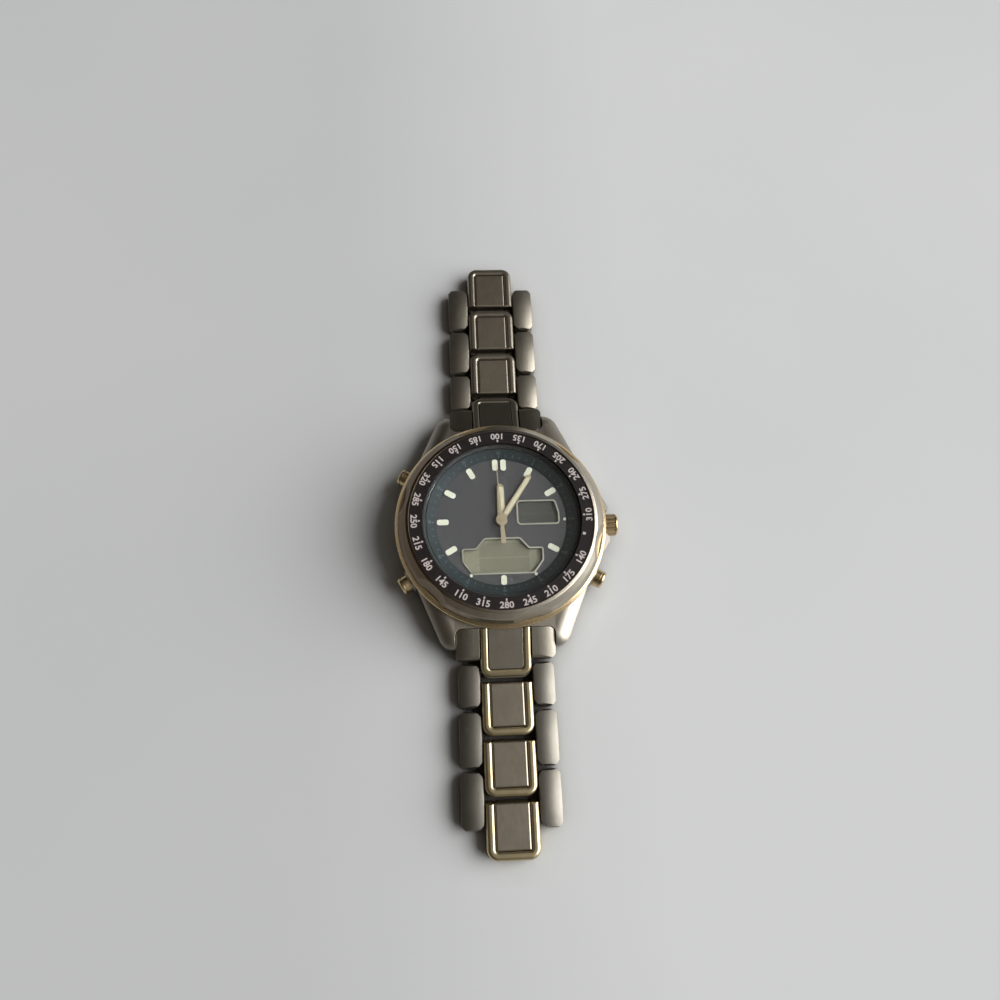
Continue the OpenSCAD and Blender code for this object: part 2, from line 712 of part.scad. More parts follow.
// Coil between two pole blocks, with a yoke that joins them
module step_motor(angle) {
    coil_r = 1.05;
    coil_l = 6;
    pole_l = 1.9;
    yoke_t = 0.6;
    yoke_half_l = coil_l / 2 + pole_l - 0.05;
    rotate([0, 0, angle]) translate([0, 6.4, board_low - 1.1]) {
        rotate([0, 90, 0]) cylinder(r = coil_r, h = coil_l, center = true);
        for (x = [-1, 1])
            translate([x * (coil_l + pole_l) / 2, 0, 0.35]) cube([pole_l, 2.4, 1.5], center = true);
        translate([-yoke_half_l, 1.6, 0.5]) cube([2 * yoke_half_l, 1.4, yoke_t]);
        both_sides() translate([yoke_half_l - 0.9, 0.8, 0.5]) cube([0.9, 1.2, yoke_t]);
    }
}
module step_motors() {
    color([0.72, 0.4, 0.2]) {
        step_motor(0);
        step_motor(-140);
    }
}

// Crown, stem and pushers

module crown_tube() {
    color(POLISHED) difference() {
        radial_rod(crown_tube_r, bore_r + 0.1, crown_low + 0.6);
        radial_rod(stem_r + run, bore_r - 1, crown_reach);
    }
}
module crown() {
    color(GOLD) difference() {
        radial() translate([0, 0, crown_low]) rotate_extrude()
            polygon(rounded([[0, 0], [crown_r, 0], [crown_r, crown_l - 0.3], [crown_r - 0.9, crown_l],
                [0, crown_l]], [0, 0.3, 0.3, 0.3, 0]));
        radial_rod(crown_tube_r + 0.15, crown_low - 1, crown_low + 1);
        radial_rod(stem_r + slip, crown_low, stem_end);
        for (i = [0 : crown_flutes - 1])
            radial() rotate([0, 0, 360 / crown_flutes * i]) translate([crown_r + 0.12, 0, crown_low - 1])
                cylinder(r = 0.36, h = crown_l + 0.4, $fn = 20);
    }
}
module stem() {
    groove_low = lever_x - stem_groove_w / 2;
    groove_high = lever_x + stem_groove_w / 2;
    inner_end = lever_x - 1.4;
    color(POLISHED) {
        radial_rod(stem_r, groove_high, stem_end);
        radial_rod(stem_neck_r, groove_low - 0.1, groove_high + 0.1);
        radial_rod(stem_r, inner_end, groove_low);
    }
}
// Fork in the groove of the stem, hanging from a slider under the main plate
module setting_lever() {
    fork_t = stem_groove_w - 2 * run;
    fork_low = crown_z - stem_r - 0.4;
    slider_low = crown_z + stem_r + run;
    top = plate_low - run;
    slot_r = stem_neck_r + run;
    color([0.7, 0.7, 0.68]) difference() {
        union() {
            translate([lever_x - fork_t / 2, -lever_half_w, fork_low])
                cube([fork_t, 2 * lever_half_w, top - fork_low]);
            translate([lever_x - lever_half_l, -lever_half_w, slider_low])
                cube([2 * lever_half_l, 2 * lever_half_w, top - slider_low]);
        }
        radial_rod(slot_r, lever_x - 2, lever_x + 2);
        translate([lever_x - 1, -slot_r, fork_low - 1]) cube([2, 2 * slot_r, crown_z - fork_low + 1]);
    }
}
module pusher(angle) {
    color(GOLD) {
        difference() {
            radial(angle) translate([0, 0, pusher_reach - pusher_l]) rotate_extrude()
                polygon(rounded([[0, 0], [pusher_r, 0], [pusher_r, pusher_l], [0, pusher_l]],
                    [0, 0.1, 0.45, 0]));
            radial(angle) translate([0, 0, pusher_reach - pusher_l + 1.25]) rotate_extrude()
                polygon([[pusher_r - 0.12, 0], [pusher_r + 1, 0], [pusher_r + 1, 0.25],
                    [pusher_r - 0.12, 0.25]]);
        }
        radial_rod(shaft_r, shaft_low, pusher_reach - pusher_l + 0.5, angle);
    }
}
module pusher_4() {
    pusher(PUSHER_ANGLES[0]);
}
module pusher_8() {
    pusher(PUSHER_ANGLES[1]);
}
module pusher_10() {
    pusher(PUSHER_ANGLES[2]);
}
module pusher_tubes() {
    color(POLISHED) for (angle = PUSHER_ANGLES) difference() {
        radial_rod(pusher_tube_r, bore_r + 0.1, collar_bore_low, angle);
        radial_rod(shaft_r + run, bore_r - 1, pusher_reach, angle);
    }
}

// Bezel

// Scallop that is cut along the slope of the hood
module scallop_cutter() {
    translate([hood_r - scallop_depth + scallop_r / cos(scallop_lean), 0, hood_low])
        rotate([0, -scallop_lean, 0]) cylinder(r = scallop_r, h = 3 * scallop_r, center = true, $fn = 128);
}
module bezel_hood() {
    bore = neck_r + run;
    shelf_bore = ring_bore_d / 2;
    first_scallop = 45;
    color(POLISHED) difference() {
        rotate_extrude($fn = 160) polygon(concat(
            [[bore, bezel_low], [base_bore_r, bezel_low], [base_bore_r, hood_low]],
            rounded([[base_bore_r, hood_low + 0.01], [hood_r, hood_low + 0.01], [hood_r, hood_low + 0.75],
                [hood_r - 0.45, hood_low + 1.7], [ring_r + lip_w + 0.25, lip_z - 0.1],
                [ring_r + slip, lip_z], [base_bore_r, hood_low + 0.02]],
                [0, 0.1, 0.6, 1.6, 0.2, 0, 0], 4),
            [[ring_r + slip, ring_seat_z], [shelf_bore, ring_seat_z], [shelf_bore, neck_top + 0.06],
                [bore, neck_top + 0.06]]));
        for (i = [0 : scallops - 1])
            rotate([0, 0, first_scallop + 360 / scallops * i]) scallop_cutter();
    }
}
module bezel_base_ring() {
    bevel_h = 0.5;
    color(GOLD) rotate_extrude($fn = 160)
        polygon(rounded([[base_bore_r + slip, bezel_low], [bezel_r - 0.1, bezel_low],
            [bezel_r, bezel_low + 0.15], [bezel_r, hood_low - bevel_h], [hood_r + 0.08, hood_low],
            [base_bore_r + slip, hood_low]],
            [0, 0.1, 0.1, 0.35, 0.1, 0], 4));
}
module bezel_printed_ring() {
    color(BLACK) tube(ring_r, ring_bore_d / 2, ring_seat_z, head_h, $fn = 128);
}

// Bracelet

function link_far(i) = tongue_reach + link_pitch * i;
function link_mid(i) = link_far(i) - centre_l / 2;
function near_pin(i) = link_mid(i) - centre_pin_span / 2;
function far_pin(i) = i == 0 ? end_pin_y : link_mid(i) + centre_pin_span / 2;
function outer_far(i) = link_mid(i) - link_pitch / 2 + outer_l / 2;
function outer_near(i) = i == 1 ? wing_reach + outer_gap : outer_far(i) - outer_l;

module half(side) {
    rotate([0, 0, side == UPPER ? 0 : 180]) children();
}
module cross_pin(y, z, r, length) {
    translate([0, y, z]) rotate([0, 90, 0]) cylinder(r = r, h = length, center = true, $fn = 32);
}
// Side view of a link, with all its edges rounded for the bracelet to curl
module link_side(low, high, top_z, r_top) {
    soft_rectangle([low, 0], [high, top_z], [low_round, low_round, r_top, r_top]);
}
module rim_section(depth) {
    intersection() {
        translate([0, link_t - depth]) square([rim_w, depth]);
        soft_rectangle([0, link_t - depth], [rim_w, link_t],
            [min(rim_low_round, depth / 6), 0.05, 0.5, min(0.72, depth * 0.7)]);
    }
}
// Raised frame: two legs and a closed far end, with its outer face at half_w and at far
module rim_frame(half_w, near, far, depth) {
    both_sides() {
        translate([-half_w, (near + far - rim_corner_r) / 2, 0])
            along_y(far - rim_corner_r - near) rim_section(depth);
        translate([half_w - rim_corner_r, far - rim_corner_r, 0]) rotate_extrude(angle = 90)
            translate([rim_corner_r, 0]) mirror([1, 0]) rim_section(depth);
    }
    translate([0, far, 0]) along_x(2 * (half_w - rim_corner_r))
        mirror([1, 0]) rim_section(depth);
}
module core_plan(near, far, fit) {
    half_core = centre_w / 2 - rim_w - fit;
    inner_r = rim_corner_r - rim_w;
    soft_rectangle([-half_core, near], [half_core, far - rim_w - fit], [0.1, 0.1, inner_r, inner_r],
        $fn = 32);
}
// Low knuckle at the near end of a link, round its pin. It clears the low edge of the link before
// when both pins between them are at their limit.
module link_nose(i, width) {
    near = link_far(i) - centre_l;
    nose_top = pin_z - 0.1;
    slope_end = near - nose_l - 0.2;
    along_x(width) intersection() {
        translate([near_pin(i), pin_z]) circle(near_pin(i) - near + nose_l);
        polygon([[slope_end, 0], [near_pin(i), 0], [near_pin(i), nose_top], [near, nose_top],
            [slope_end, nose_top - 0.8]]);
    }
}
module link_rim(side, i) {
    near = link_far(i) - centre_l;
    spare = 0.3;
    color(side == UPPER ? BRONZE : GOLD) half(side) difference() {
        union() {
            intersection() {
                rim_frame(centre_w / 2, near - 1, link_far(i), link_t);
                along_x(centre_w + 2) soft_rectangle([near, -spare], [link_far(i) + spare, link_t + spare],
                    [low_round + spare, low_round + spare, spare, 0.9]);
            }
            both_sides() translate([(centre_w - rim_w) / 2, 0, 0]) link_nose(i, rim_w - 0.5);
        }
        cross_pin(near_pin(i), pin_z, pin_r + run, centre_w + 2);
        cross_pin(far_pin(i), pin_z, pin_r + run, centre_w + 2);
    }
}
module centre_link(side, i) {
    near = link_far(i) - centre_l;
    top = link_t - rim_rise;
    color(TITANIUM) half(side) difference() {
        union() {
            intersection() {
                linear_extrude(link_t) core_plan(near - 1, link_far(i), slip);
                along_x(centre_w + 2) link_side(near, link_far(i) - rim_w, top, 0.35);
                translate([0, (near + link_far(i)) / 2, 0]) along_y(centre_l + 2)
                    soft_rectangle([-centre_w / 2 + rim_w, 0], [centre_w / 2 - rim_w, top],
                        [0.2, 0.2, 0.4, 0.4], $fn = 32);
            }
            link_nose(i, centre_w - 2 * rim_w - 0.5);
        }
        cross_pin(near_pin(i), pin_z, pin_r + run, centre_w);
        cross_pin(far_pin(i), pin_z, pin_r + run, centre_w);
    }
}
// Outer link seen from its end, without its lower edges: the top falls to a rounded outer edge
module outer_section() {
    fall_r = 7;
    fall_x = outer_in + 1.5;
    intersection() {
        soft_rectangle([outer_in, -1], [outer_out, link_t], [0.3, 0.3, 0.8, 0.6]);
        translate([fall_x, link_t - fall_r]) circle(fall_r, $fn = 96);
    }
}
// Ring whose outside gives an outer link its crown, across and along the bracelet
module outer_crown() {
    crown_r = 20;
    translate([0, 0, link_t - crown_r]) rotate([0, 90, 0]) rotate_extrude($fn = 200)
        translate([crown_r - link_t, 0]) mirror([1, -1]) outer_section();
}
module outer_link(i) {
    near = outer_near(i);
    far = outer_far(i);
    over = link_t + 0.3;
    difference() {
        intersection() {
            linear_extrude(over) soft_rectangle([outer_in, near], [outer_out, far],
                [inner_corner_r, outer_corner_r, outer_corner_r, inner_corner_r]);
            along_x(bracelet_w + 2) link_side(near, far, over, top_round);
            translate([0, (near + far) / 2, 0]) along_y(far - near + 2)
                soft_rectangle([outer_in, 0], [outer_out, over + 1], [0.35, 0.6, 0.6, 0.35]);
            translate([0, (near + far) / 2, 0]) outer_crown();
        }
        cross_pin(far_pin(i - 1), pin_z, pin_r + pin_press, bracelet_w + 2);
        cross_pin(near_pin(i), pin_z, pin_r + pin_press, bracelet_w + 2);
    }
}
module outer_links(side, i) {
    color(TITANIUM) half(side) both_sides() outer_link(i);
}
module link_pins(side, i) {
    pin_l = bracelet_w - 0.7;
    color(POLISHED) half(side) {
        cross_pin(far_pin(i - 1), pin_z, pin_r, pin_l);
        cross_pin(near_pin(i), pin_z, pin_r, pin_l);
    }
}

// End link: a tongue between two shoulders, all falling from the case to the first links

module end_side(reach, low_z, r_top) {
    reach_top = tongue_top_z + tan(end_slope) * (tongue_reach - reach);
    polygon(rounded([[end_root, 1.4], [spring_bar_y, 1.2], [reach - 2.4, low_z], [reach, low_z],
        [reach, reach_top], [end_root, end_root_z]], [0, 0, 0, 1.1, r_top, 0]));
}
module end_slope_frame() {
    translate([0, tongue_reach, tongue_top_z]) rotate([-end_slope, 0, 0])
        translate([0, -tongue_reach, -link_t]) children();
}
module clear_of_case() {
    difference() {
        children();
        disc(case_r + case_fit, -1, tall, $fn = 128);
        disc(bezel_r + case_fit, shoulder_z, tall, $fn = 128);
    }
}
module end_link(side) {
    bar_bore_r = spring_bar_d / 2 + run;
    color(TITANIUM) half(side) clear_of_case() difference() {
        union() {
            intersection() {
                linear_extrude(tall) soft_rectangle([-wing_out, end_root], [wing_out, wing_reach],
                    [wall_corner_r - case_fit, wall_corner_r - case_fit, 1, 1]);
                along_x(2 * wing_out) end_side(wing_reach, 0.7, 0.9);
                wing_crown();
            }
            intersection() {
                linear_extrude(tall)
                    soft_rectangle([-centre_w / 2, end_root], [centre_w / 2, tongue_reach],
                        [0.1, 0.1, rim_corner_r, rim_corner_r]);
                along_x(centre_w) end_side(tongue_reach, 0, 0.5);
            }
        }
        both_sides() end_groove();
        end_rim_pocket();
        cross_pin(spring_bar_y, spring_bar_z, bar_bore_r, lug_gap + 2);
        cross_pin(end_pin_y, pin_z, pin_r + run, centre_w + 2);
    }
}
// Stock under the tops of the shoulders, which fall towards the lugs
module wing_crown() {
    crown_r = 11;
    crown_x = 6;
    end_slope_frame() along_y(4 * tongue_reach) {
        translate([-crown_x, -tall]) square([2 * crown_x, tall + link_t]);
        both_sides() translate([crown_x, link_t - crown_r]) circle(crown_r, $fn = 96);
    }
}
// Fine line between the tongue and a shoulder
module end_groove() {
    width = 0.12;
    depth = 0.7;
    translate([(centre_w + width) / 2, 0, 0]) along_x(width) polygon([
        [end_root, end_root_z - depth], [tongue_reach, tongue_top_z - depth], [tongue_reach, tall],
        [end_root, tall]]);
}
// Straight-walled seat for the rim in the slope of the tongue
module end_rim_pocket() {
    half_w = centre_w / 2 + run;
    end_slope_frame() translate([0, 0, link_t - end_rim_depth]) linear_extrude(tall)
        difference() {
            translate([-half_w, end_root - 2]) square([2 * half_w, tongue_reach]);
            core_plan(end_root - 5, tongue_reach, slip);
        }
}
module end_rim(side) {
    color(side == UPPER ? BRONZE : GOLD) half(side) clear_of_case() difference() {
        end_slope_frame() rim_frame(centre_w / 2, end_root - 2, tongue_reach, end_rim_depth);
        translate([-centre_w, 0, 0]) cube([2 * centre_w, end_root, tall]);
    }
}
module spring_bars() {
    tip_l = 0.9;
    color(POLISHED) for (y = [-spring_bar_y, spring_bar_y]) {
        cross_pin(y, spring_bar_z, spring_bar_d / 2, lug_gap - 0.5);
        cross_pin(y, spring_bar_z, spring_tip_d / 2, lug_gap + 2 * tip_l);
    }
}

case_middle();
case_back();
case_back_gasket();
crystal();
crystal_gasket();
flange_ring();
dial();
upper_lcd();
lower_lcd();
window_frames();
hour_markers();
main_plate();
movement_holder();
circuit_board();
battery();
battery_strap();
step_motors();
crown_tube();
pusher_tubes();
spring_bars();
bezel_hood();
bezel_base_ring();
bezel_printed_ring();
hour_hand();
minute_hand();
second_hand();
crown();
stem();
setting_lever();
pusher_4();
pusher_8();
pusher_10();
end_link(UPPER);  // upper_end_link
end_rim(UPPER);  // upper_end_rim
end_link(LOWER);  // lower_end_link
end_rim(LOWER);  // lower_end_rim
for (i = LINKS) {
    centre_link(UPPER, i);
    link_rim(UPPER, i);
    outer_links(UPPER, i);
    link_pins(UPPER, i);
    centre_link(LOWER, i);
    link_rim(LOWER, i);
    outer_links(LOWER, i);
    link_pins(LOWER, i);
}
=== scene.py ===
import math

import bmesh
import bpy
from mathutils import Matrix, Vector


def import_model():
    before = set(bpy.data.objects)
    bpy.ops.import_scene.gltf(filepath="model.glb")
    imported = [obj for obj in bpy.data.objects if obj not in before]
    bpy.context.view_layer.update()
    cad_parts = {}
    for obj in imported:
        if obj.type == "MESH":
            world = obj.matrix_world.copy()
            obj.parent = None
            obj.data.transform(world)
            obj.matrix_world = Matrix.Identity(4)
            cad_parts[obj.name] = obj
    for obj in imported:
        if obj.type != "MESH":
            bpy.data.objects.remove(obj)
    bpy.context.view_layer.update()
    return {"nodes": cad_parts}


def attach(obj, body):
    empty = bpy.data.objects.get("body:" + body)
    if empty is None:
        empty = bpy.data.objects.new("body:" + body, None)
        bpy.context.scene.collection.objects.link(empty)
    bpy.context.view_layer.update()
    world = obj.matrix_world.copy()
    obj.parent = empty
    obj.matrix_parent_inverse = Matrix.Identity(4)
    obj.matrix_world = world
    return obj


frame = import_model()
MM = 0.001
NODES = frame["nodes"]


# ---- material nodes ----

def feed(tree, node, inputs):
    """Links the sockets and sets the plain values in inputs, which names them or numbers them."""
    for key, value in inputs.items():
        if isinstance(value, bpy.types.NodeSocket):
            tree.links.new(value, node.inputs[key])
        else:
            node.inputs[key].default_value = value


def put(tree, kind, inputs=None, **settings):
    """Adds a node with its settings and inputs."""
    node = tree.nodes.new(kind)
    for key, value in settings.items():
        setattr(node, key, value)
    feed(tree, node, inputs or {})
    return node


def math_node(tree, operation, a, b=0.0):
    return put(tree, "ShaderNodeMath", {0: a, 1: b}, operation=operation).outputs[0]


def plus(tree, a, b):
    return math_node(tree, "ADD", a, b)


def times(tree, a, b):
    return math_node(tree, "MULTIPLY", a, b)


def inside(tree, value, low, high):
    """1 where value lies between low and high, else 0."""
    return times(tree, math_node(tree, "GREATER_THAN", value, low),
                 math_node(tree, "LESS_THAN", value, high))


def span(tree, value, low, high):
    """0 where value is low, 1 where it is high, and even steps between. low may be the greater."""
    return put(tree, "ShaderNodeMapRange", {0: value, 1: low, 2: high}).outputs[0]


def axes(tree, vector):
    return put(tree, "ShaderNodeSeparateXYZ", {0: vector}).outputs


def mix(tree, fac, a, b, blend="MIX"):
    """Mixes two colours. Each is a socket or three numbers."""
    node = put(tree, "ShaderNodeMix", {"Factor": fac}, data_type="RGBA", blend_type=blend)
    for name, value in (("A", a), ("B", b)):
        socket = [s for s in node.inputs if s.name == name and s.type == "RGBA"][0]
        if isinstance(value, bpy.types.NodeSocket):
            tree.links.new(value, socket)
        else:
            socket.default_value = (*value, 1)
    return [s for s in node.outputs if s.type == "RGBA"][0]


def ramp(tree, fac, *stops):
    """A ramp over fac. Each stop is (position, grey level) or (position, colour)."""
    node = put(tree, "ShaderNodeValToRGB", {0: fac})
    elements = node.color_ramp.elements
    while len(elements) < len(stops):
        elements.new(0.5)
    for element, (at, value) in zip(elements, stops):
        element.position = at
        element.color = (*value, 1) if isinstance(value, tuple) else (value, value, value, 1)
    return node.outputs[0]


def noise(tree, vector, scale, detail=3.0, rough=0.5):
    inputs = {"Vector": vector, "Scale": scale, "Detail": detail, "Roughness": rough}
    return put(tree, "ShaderNodeTexNoise", inputs).outputs[0]


def place(tree, scale=(1, 1, 1)):
    """Coordinates of the object, in metres times scale."""
    coords = put(tree, "ShaderNodeTexCoord").outputs["Object"]
    return put(tree, "ShaderNodeMapping", {"Vector": coords, "Scale": scale}).outputs[0]


def round_place(tree):
    """Coordinates for brushing round the Z axis: radius, height and a short way round."""
    x, y, z = axes(tree, put(tree, "ShaderNodeTexCoord").outputs["Object"])
    radius = math_node(tree, "SQRT", plus(tree, times(tree, x, x), times(tree, y, y)))
    turn = math_node(tree, "ARCTAN2", y, x)
    return put(tree, "ShaderNodeCombineXYZ", {
        0: times(tree, radius, ROUND_ACROSS), 1: times(tree, z, ROUND_ACROSS),
        2: times(tree, turn, ROUND_ALONG)}).outputs[0]


def open_air(tree, reach):
    """1 in the open, and less in a gap that is narrow against reach."""
    return put(tree, "ShaderNodeAmbientOcclusion", {"Distance": reach}, samples=6).outputs["AO"]


def bump(tree, height, strength, distance, **normal):
    """Relief. normal may give Normal, the socket that it is added to."""
    inputs = {"Height": height, "Strength": strength, "Distance": distance, **normal}
    return put(tree, "ShaderNodeBump", inputs).outputs[0]


def shade(color, factor):
    return tuple(min(1, channel * factor) for channel in color)


def start(name):
    """A new material with its node tree and its shader."""
    mat = bpy.data.materials.new(name)
    mat.use_nodes = True
    tree = mat.node_tree
    return mat, tree, tree.nodes["Principled BSDF"]


# ---- materials. Texture scales are per metre ----

PER_MM = (1000, 1000, 1000)
BRUSH_SCALE = {"X": (700, 14000, 9000), "Y": (14000, 700, 9000), "NONE": (9000, 9000, 9000)}
ROUND_ACROSS = 12000.0
ROUND_ALONG = 20.0
CLOUD_SCALE = 420.0
FINE_SCALE = 5200.0
SCRATCH_SCALE = (900, 260, 600)
SCRATCH_WIDTH = 0.012
BRUSH_LIGHT = 1.25
EDGE_LIGHT = 1.3
# colour of the dirt and painted shade in narrow gaps
DIRT_AND_SHADE = (0.030, 0.022, 0.015)
GAP_REACH = 0.8 * MM
DENT_DEPTH = 0.05 * MM
BRUSH_DEPTH = 0.008 * MM
PAINT_DEPTH = 0.006 * MM
REFLECTION_FROM = 8.0        # x in millimetres at which the painted reflection on the side starts
REFLECTION_FULL = -7.0       # x in millimetres from which it is full
REFLECTION_WANDER = 10.0     # millimetres by which the cloud pattern moves its border at most


def metal(name, base, worn, rough, brush="Y", streak=0.5, soften=0.06, patch=0.25, depth=0.35,
          grime_and_shade=0.9, painted_side_reflection=None):
    """Metal with brushing or fine scratches, edges rubbed brighter, and dirt and painted shade in
    its narrow gaps.

    brush is the direction of the brushing, streak its strength and depth its relief. soften is
    the radius of the edges in millimetres. patch is the share of the colour worn, and the grime
    argument the share of dirt and painted shade in the gaps. The last argument is a colour painted
    over the side of low x as a reflection.
    """
    mat, tree, shader = start(name)
    way = round_place(tree) if brush == "ROUND" else place(tree, BRUSH_SCALE[brush])
    lines = noise(tree, way, 1.0, 2.0, 0.6)
    cloud = noise(tree, place(tree), CLOUD_SCALE, 4.0, 0.6)
    fine = noise(tree, place(tree), FINE_SCALE, 2.0, 0.5)
    cells = put(tree, "ShaderNodeTexVoronoi",
                {"Vector": place(tree, SCRATCH_SCALE), "Scale": 1.0},
                feature="DISTANCE_TO_EDGE").outputs["Distance"]
    scratch = ramp(tree, cells, (0.0, 1.0), (SCRATCH_WIDTH, 0.0))

    # the softened normal leaves the true one near an edge
    soft = put(tree, "ShaderNodeBevel", {"Radius": soften * MM}, samples=4).outputs[0]
    true = put(tree, "ShaderNodeNewGeometry").outputs["True Normal"]
    facing = put(tree, "ShaderNodeVectorMath", {0: soft, 1: true},
                 operation="DOT_PRODUCT").outputs["Value"]
    edge = ramp(tree, facing, (0.72, 1.0), (0.985, 0.0))
    # dirt and painted shade: darker where the gaps are narrow
    dirt_and_shade = ramp(tree, open_air(tree, GAP_REACH), (0.30, grime_and_shade), (0.85, 0.0))

    tone = mix(tree, ramp(tree, cloud, (0.3, 0.0), (0.75, patch)), base, worn)
    tone = mix(tree, ramp(tree, lines, (0.35, 0.0), (0.7, 0.16 * streak)), tone,
               shade(base, BRUSH_LIGHT))
    tone = mix(tree, times(tree, edge, 0.35), tone, shade(base, EDGE_LIGHT))
    # painted reflection: a brownish colour laid over the side of low x
    if painted_side_reflection:
        left = axes(tree, place(tree, PER_MM))[0]
        spread = plus(tree, left, times(tree, cloud, REFLECTION_WANDER))
        side = span(tree, spread, REFLECTION_FROM, REFLECTION_FULL)
        tone = mix(tree, times(tree, side, 0.85), tone, painted_side_reflection)
    # dirt and painted shade darken the narrow gaps
    tone = mix(tree, dirt_and_shade, tone, DIRT_AND_SHADE)

    # edges are smoother than the rest, and scratches and the dirt and painted shade of the gaps
    # rougher
    grain = plus(tree, times(tree, lines, 0.12 * streak), times(tree, fine, 0.06))
    level = plus(tree, grain, rough - 0.09 * streak)
    for mark, change in ((edge, -0.08), (scratch, 0.08), (dirt_and_shade, 0.3)):
        level = plus(tree, level, times(tree, mark, change))

    relief = plus(tree, times(tree, lines, streak), times(tree, scratch, -0.3))
    dents = bump(tree, cloud, 0.5, DENT_DEPTH, Normal=soft)
    feed(tree, shader, {
        "Base Color": tone, "Metallic": 1.0, "Roughness": math_node(tree, "MAXIMUM", level, 0.06),
        "Normal": bump(tree, relief, depth, BRUSH_DEPTH, Normal=dents)})
    return mat


def paint(name, base, other, rough, scale=1500.0, depth=0.2, metallic=0.0, gloss=0.5):
    """Lacquer, plastic or print with a fine mottle."""
    mat, tree, shader = start(name)
    mottle = noise(tree, place(tree), scale, 4.0, 0.6)
    slow = noise(tree, place(tree), scale / 12, 3.0, 0.5)
    tone = mix(tree, ramp(tree, mottle, (0.35, 0.0), (0.7, 0.6)), base, other)
    tone = mix(tree, ramp(tree, slow, (0.4, 0.0), (0.7, 0.35)), tone, other)
    feed(tree, shader, {
        "Base Color": tone, "Metallic": metallic, "Specular IOR Level": gloss,
        "Roughness": plus(tree, times(tree, mottle, 0.12), rough - 0.06),
        "Normal": bump(tree, mottle, depth, PAINT_DEPTH)})
    return mat


def crystal_glass(name):
    """Clear glass that lets lamps light what lies under it."""
    mat, tree, shader = start(name)
    smear = noise(tree, place(tree, (300, 900, 300)), 1.0, 4.0, 0.6)
    feed(tree, shader, {
        "Base Color": (0.97, 0.985, 1, 1), "Transmission Weight": 1.0, "IOR": 1.5,
        "Roughness": ramp(tree, smear, (0.45, 0.0), (0.8, 0.05))})
    clear = put(tree, "ShaderNodeBsdfTransparent", {"Color": (0.94, 0.96, 0.97, 1)})
    shadow = put(tree, "ShaderNodeLightPath").outputs["Is Shadow Ray"]
    both = put(tree, "ShaderNodeMixShader", {0: shadow, 1: shader.outputs[0], 2: clear.outputs[0]})
    feed(tree, tree.nodes["Material Output"], {"Surface": both.outputs[0]})
    return mat


def lcd(name, base, fields):
    """Grey-green panel. Each field is two corners in millimetres, and a little darker."""
    mat, tree, shader = start(name)
    x, y, _ = axes(tree, place(tree, PER_MM))
    grain = noise(tree, place(tree), 2500.0, 2.0)
    tone = mix(tree, ramp(tree, grain, (0.3, 0.0), (0.75, 1.0)), base, shade(base, 1.18))
    for low, high in fields:
        field = times(tree, inside(tree, x, low[0], high[0]), inside(tree, y, low[1], high[1]))
        tone = mix(tree, times(tree, field, 0.6), tone, shade(base, 0.72))
    feed(tree, shader, {
        "Base Color": tone, "Roughness": plus(tree, times(tree, grain, 0.1), 0.2)})
    return mat


TITANIUM = (0.37, 0.34, 0.285)
TITANIUM_WORN = (0.28, 0.25, 0.20)
satin = metal("titanium_satin_y", TITANIUM, TITANIUM_WORN, 0.34, streak=0.8, patch=0.45)
# painted shade: a darker copy of the titanium for the outer links, which tones down their
# highlights
satin_outer_shaded = metal("titanium_outer_painted_shade_y", (0.30, 0.276, 0.232), (0.225, 0.20, 0.16), 0.42,
                    streak=0.8, patch=0.5)
# painted shade: a still darker copy of that titanium for the lower half's outer links
satin_outer_low_shaded = metal("titanium_outer_low_painted_shade_y", (0.245, 0.231, 0.202), (0.18, 0.166, 0.14), 0.43,
                        streak=0.8, patch=0.5)
satin_core = metal("titanium_core_y", (0.385, 0.345, 0.28), TITANIUM_WORN, 0.34,
                   streak=0.8, soften=0.05, patch=0.5)
satin_round = metal("titanium_round", TITANIUM, (0.30, 0.27, 0.22), 0.36, "ROUND", streak=1.0)
# painted shade: a darker copy of the titanium for the upper end link, which lies in dimmer
# reflection
satin_end_shaded = metal("titanium_end_painted_shade_y", (0.29, 0.262, 0.215), (0.21, 0.187, 0.15), 0.32,
                   streak=0.8, patch=0.5)
case_metal = metal("titanium_case", (0.39, 0.36, 0.308), (0.30, 0.27, 0.223), 0.36, "NONE",
                   streak=0.5, soften=0.12)
# the hood's left side carries a painted brownish reflection
hood_metal = metal("bezel_polish", (0.47, 0.43, 0.36), (0.37, 0.32, 0.25), 0.27, "ROUND",
                   streak=0.35, soften=0.10, patch=0.3, depth=0.2, grime_and_shade=0.6,
                   painted_side_reflection=(0.12, 0.077, 0.044))
gold = metal("gold_plate", (0.72, 0.56, 0.33), (0.53, 0.38, 0.23), 0.22, "NONE",
             streak=0.25, soften=0.08, patch=0.45, depth=0.15, grime_and_shade=0.75)
gold_rim = metal("gold_rim", (0.595, 0.515, 0.325), (0.44, 0.325, 0.20), 0.31,
                 streak=0.35, soften=0.08, patch=0.6, depth=0.2)
gold_hand = metal("gold_hand", (0.70, 0.60, 0.41), (0.58, 0.45, 0.28), 0.34, "NONE",
                  streak=0.2, soften=0.02, patch=0.3, depth=0.1, grime_and_shade=0.3)
frame_metal = metal("frame_metal", (0.62, 0.60, 0.50), (0.50, 0.47, 0.38), 0.36, "NONE",
                    streak=0.2, soften=0.02, patch=0.3, depth=0.1, grime_and_shade=0.3)
